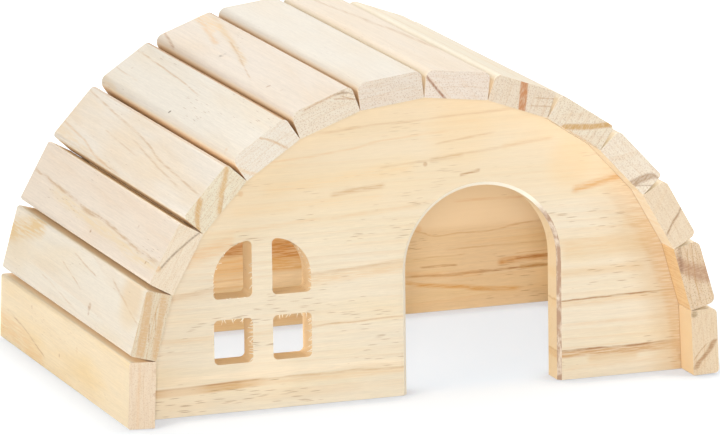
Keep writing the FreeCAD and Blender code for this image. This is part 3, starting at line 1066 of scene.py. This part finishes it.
dress_board("front_panel", "pine_front_board", -slat_length / 2 + board_setback, front_tree)

# %% [markdown]
# ## The back board
# Only its inner side is seen, through the door and the window. It is a livelier
# board than the front one: a golden line sags across it, a dark resin streak ends
# at the right, and behind the window lie warm orange stripes.

# %% The marks of the back board
back_tree = dict(
    outward=80, centre=40, drift=-2, ring=2.4, contrast=0.25, wander=1.5, dashes=0.3, seed=8,
    tone=(228, 203, 165), warm=(226, 197, 148), high_tone=(238, 216, 181), clouds=0.7, seams=(16.4, 58, 90),
    tone_low=33, tone_high=37, high_strength=0.9, cut_tone=(228, 194, 150), dashes_end=200,
    bands=[],
    marks=[([(46, 36.4), (53, 33.5), (59, 32), (66, 32.8), (78, 32.3), (84, 32.6), (92, 34),
             (108, 35)], 0.5, 0.4, 0.8, line_tan),
           ([(64, 46.3), (90, 46), (100, 44.5)], 0.8, 0.6, 0.5, amber),
           ([(60, 25.8), (110, 26)], 0.5, 0.4, 0.7, line_tan),
           ([(46, 23), (72, 23.2)], 0.4, 0.4, 0.6, line_tan),
           ([(92, 21.8), (112, 22.4)], 0.4, 0.3, 0.8, line_tan),
           ([(50, 19.6), (68, 19)], 0.6, 0.4, 0.9, brown),
           ([(84, 18.6), (96, 19.2), (112, 19.8)], 2.6, 0.9, 0.9, (206, 148, 80)),
           ([(92, 19.4), (112, 20.2)], 1.2, 0.6, 0.9, (176, 116, 56)),
           ([(40, 16.7), (56, 15.3), (84, 15.4), (112, 16)], 0.8, 0.4, 1, (176, 126, 74)),
           ([(94, 15.8), (112, 16)], 1.6, 0.6, 0.9, (186, 138, 70)),
           ([(40, 16.6), (80, 14)], 2.6, 1.4, 0.5, amber),
           ([(40, 14.8), (50, 12), (60, 10.5), (68, 9.5), (78, 8), (88, 7.2),
             (98, 7)], 1.5, 0.8, 1, (212, 158, 84)),
           ([(-50, 32.4), (-36, 33.2), (-22, 34.2)], 5.4, 1.4, 1, (194, 136, 78)),
           ([(-50, 26.2), (-22, 27)], 6.6, 1.6, 0.8, (232, 190, 134)),
           ([(-50, 20.2), (6, 20.2)], 5, 1.6, 0.8, (246, 220, 182)),
           ([(-50, 28), (-20, 29.4)], 0.8, 0.5, 0.8, amber), ([(-50, 25), (-20, 26)], 0.8, 0.5, 0.8, amber),
           ([(-50, 20.6), (-20, 21.6)], 0.7, 0.5, 0.8, amber),
           ([(-50, 17.6), (-20, 18.6)], 0.7, 0.5, 0.8, amber),
           ([(-20, 31.8), (-8, 32), (6, 31.4)], 8, 1.4, 1, dark_orange),
           ([(-20, 26.4), (6, 26)], 5.5, 1.2, 0.9, (214, 160, 88)),
           ([(-20, 15.6), (6, 15.2)], 1.6, 0.8, 0.8, amber), ([(-50, 2.6), (6, 3)], 2.4, 1.2, 0.5, amber)],
    knots=[((50, 35.6), 2.4, 0.4, amber)],
    patches=[((-10, 37), 9, 0.8, (214, 160, 92)), ((-30, 37), 7, 0.6, (206, 150, 90)),
             # The last patch, pale, is painted light at the right end, where the lamps hardly reach
             ((110, 14), 13, 0.7, (248, 218, 170))])
dress_board("back_panel", "pine_back_board", slat_length / 2 - board_setback - board_thickness, back_tree)

# %% [markdown]
# ## Eased edges
# The model leaves the ends of the slats square, but no sawn end stays quite
# sharp: a pass of sandpaper takes half a millimetre off, and that narrow rim
# catches the light. A bevel modifier does it without touching the mesh itself.
# The mesh came in with its faces apart, so a weld joins them first.

# %% Bevel the ends of the slats
eased_width = 0.0005
weld_distance = 0.00001
sharp_angle = math.radians(60)
for name in slat_names:
    weld = cad_pieces[name].modifiers.new("weld", "WELD")
    weld.merge_threshold = weld_distance
    ease = cad_pieces[name].modifiers.new("eased edges", "BEVEL")
    ease.width = eased_width
    ease.segments = 2
    ease.limit_method = "ANGLE"
    ease.angle_limit = sharp_angle
print("eased slats", len(slat_names))

# %% [markdown]
# ## One splinter
# The window was milled with a blunt cutter, and nobody sanded it: pale whiskers
# still hang on the edges of the panes. A bump could only draw them on the board,
# but they stand out over the openings, so they are modelled. Each is a thin
# three-sided sliver that narrows to a point and curls a little.

# %% The shape of a sliver
chance = random.Random(5)
sliver_rings, sliver_sides = 4, 3
sliver_droop = 0.25
sliver_narrowing = 0.7


def along_sliver(foot, angle, share, length):
    """The point at a share of the length of a sliver, which leans out of the board as it goes."""
    distance = length * share
    return (foot[0] + math.cos(angle) * distance, foot[1] - sliver_droop * distance,
            foot[2] + math.sin(angle) * distance)


def sliver(vertices, faces, foot, toward, length, thickness):
    """Adds one pointed curl of wood, in millimetres, to the lists of a mesh."""
    start = len(vertices)
    curl = chance.uniform(-0.5, 0.5)
    for step in range(sliver_rings):
        share = step / sliver_rings
        angle = toward + curl * share
        x, y, z = along_sliver(foot, angle, share, length)
        half = thickness / 2 * (1 - sliver_narrowing * share)
        side_x, side_z = -math.sin(angle) * half, math.cos(angle) * half
        vertices.extend([(x + side_x, y, z + side_z), (x - side_x, y, z - side_z), (x, y - half, z)])
    vertices.append(along_sliver(foot, toward + curl, 1.0, length))
    tip = start + sliver_rings * sliver_sides
    for step in range(sliver_rings):
        for side in range(sliver_sides):
            low = start + sliver_sides * step + side
            next_low = start + sliver_sides * step + (side + 1) % sliver_sides
            above = (tip,) if step == sliver_rings - 1 else (next_low + sliver_sides, low + sliver_sides)
            faces.append((low, next_low, *above))
    faces.append((start, start + 2, start + 1))

# %% [markdown]
# ## Splinters on the panes
# A list says along which edges the slivers stand, and a seeded random choice does
# the rest, so that they come out the same each time.

# %% Slivers along the torn edges
front_face_y = (-slat_length / 2 + board_setback) / millimetre
splinter_sink = 0.05

# Each row: from (x, z), to (x, z), how many, main direction in degrees, longest
torn_edges = [((-67.9, 20.5), (-67.9, 36.5), 13, 190, 3.0), ((-43.4, 20.5), (-43.4, 36.5), 10, 190, 2.8),
              ((-82.0, 37.5), (-70.0, 37.5), 6, 240, 2.6), ((-58.0, 37.5), (-45.0, 37.5), 7, 235, 2.0),
              ((-67.9, 50.0), (-67.9, 61.0), 5, 190, 2.2), ((-84.0, 46.5), (-84.0, 56.0), 6, 80, 1.4),
              ((-83.4, 57.0), (-78.5, 65.0), 5, 50, 1.6), ((-49.0, 64.2), (-43.6, 55.0), 5, 130, 1.2),
              ((-43.4, 47.0), (-43.4, 56.0), 6, 170, 2.0), ((-81.0, 45.9), (-70.0, 45.9), 4, 10, 1.2)]
vertices, faces = [], []
for (x0, z0), (x1, z1), count, direction, longest in torn_edges:
    for index in range(count):
        share = (index + chance.uniform(0.1, 0.9)) / count
        foot = (x0 + (x1 - x0) * share, front_face_y + splinter_sink, z0 + (z1 - z0) * share)
        toward = math.radians(direction + chance.uniform(-35, 35))
        sliver(vertices, faces, foot, toward, chance.uniform(0.5, 1.0) * longest, chance.uniform(0.25, 0.45))

mesh = bpy.data.meshes.new("pane_splinters")
mesh.from_pydata([Vector(vertex) * millimetre for vertex in vertices], [], faces)
splinters = bpy.data.objects.new("pane_splinters", mesh)
bpy.context.scene.collection.objects.link(splinters)
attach(splinters, "root")
torn_pine, whisker = new_finish("torn_pine")
finish_shader(whisker, splinter_tone, 0.5, 0.6)
mesh.materials.append(torn_pine)
print("slivers", sum(row[2] for row in torn_edges), "triangles and quads", len(faces))
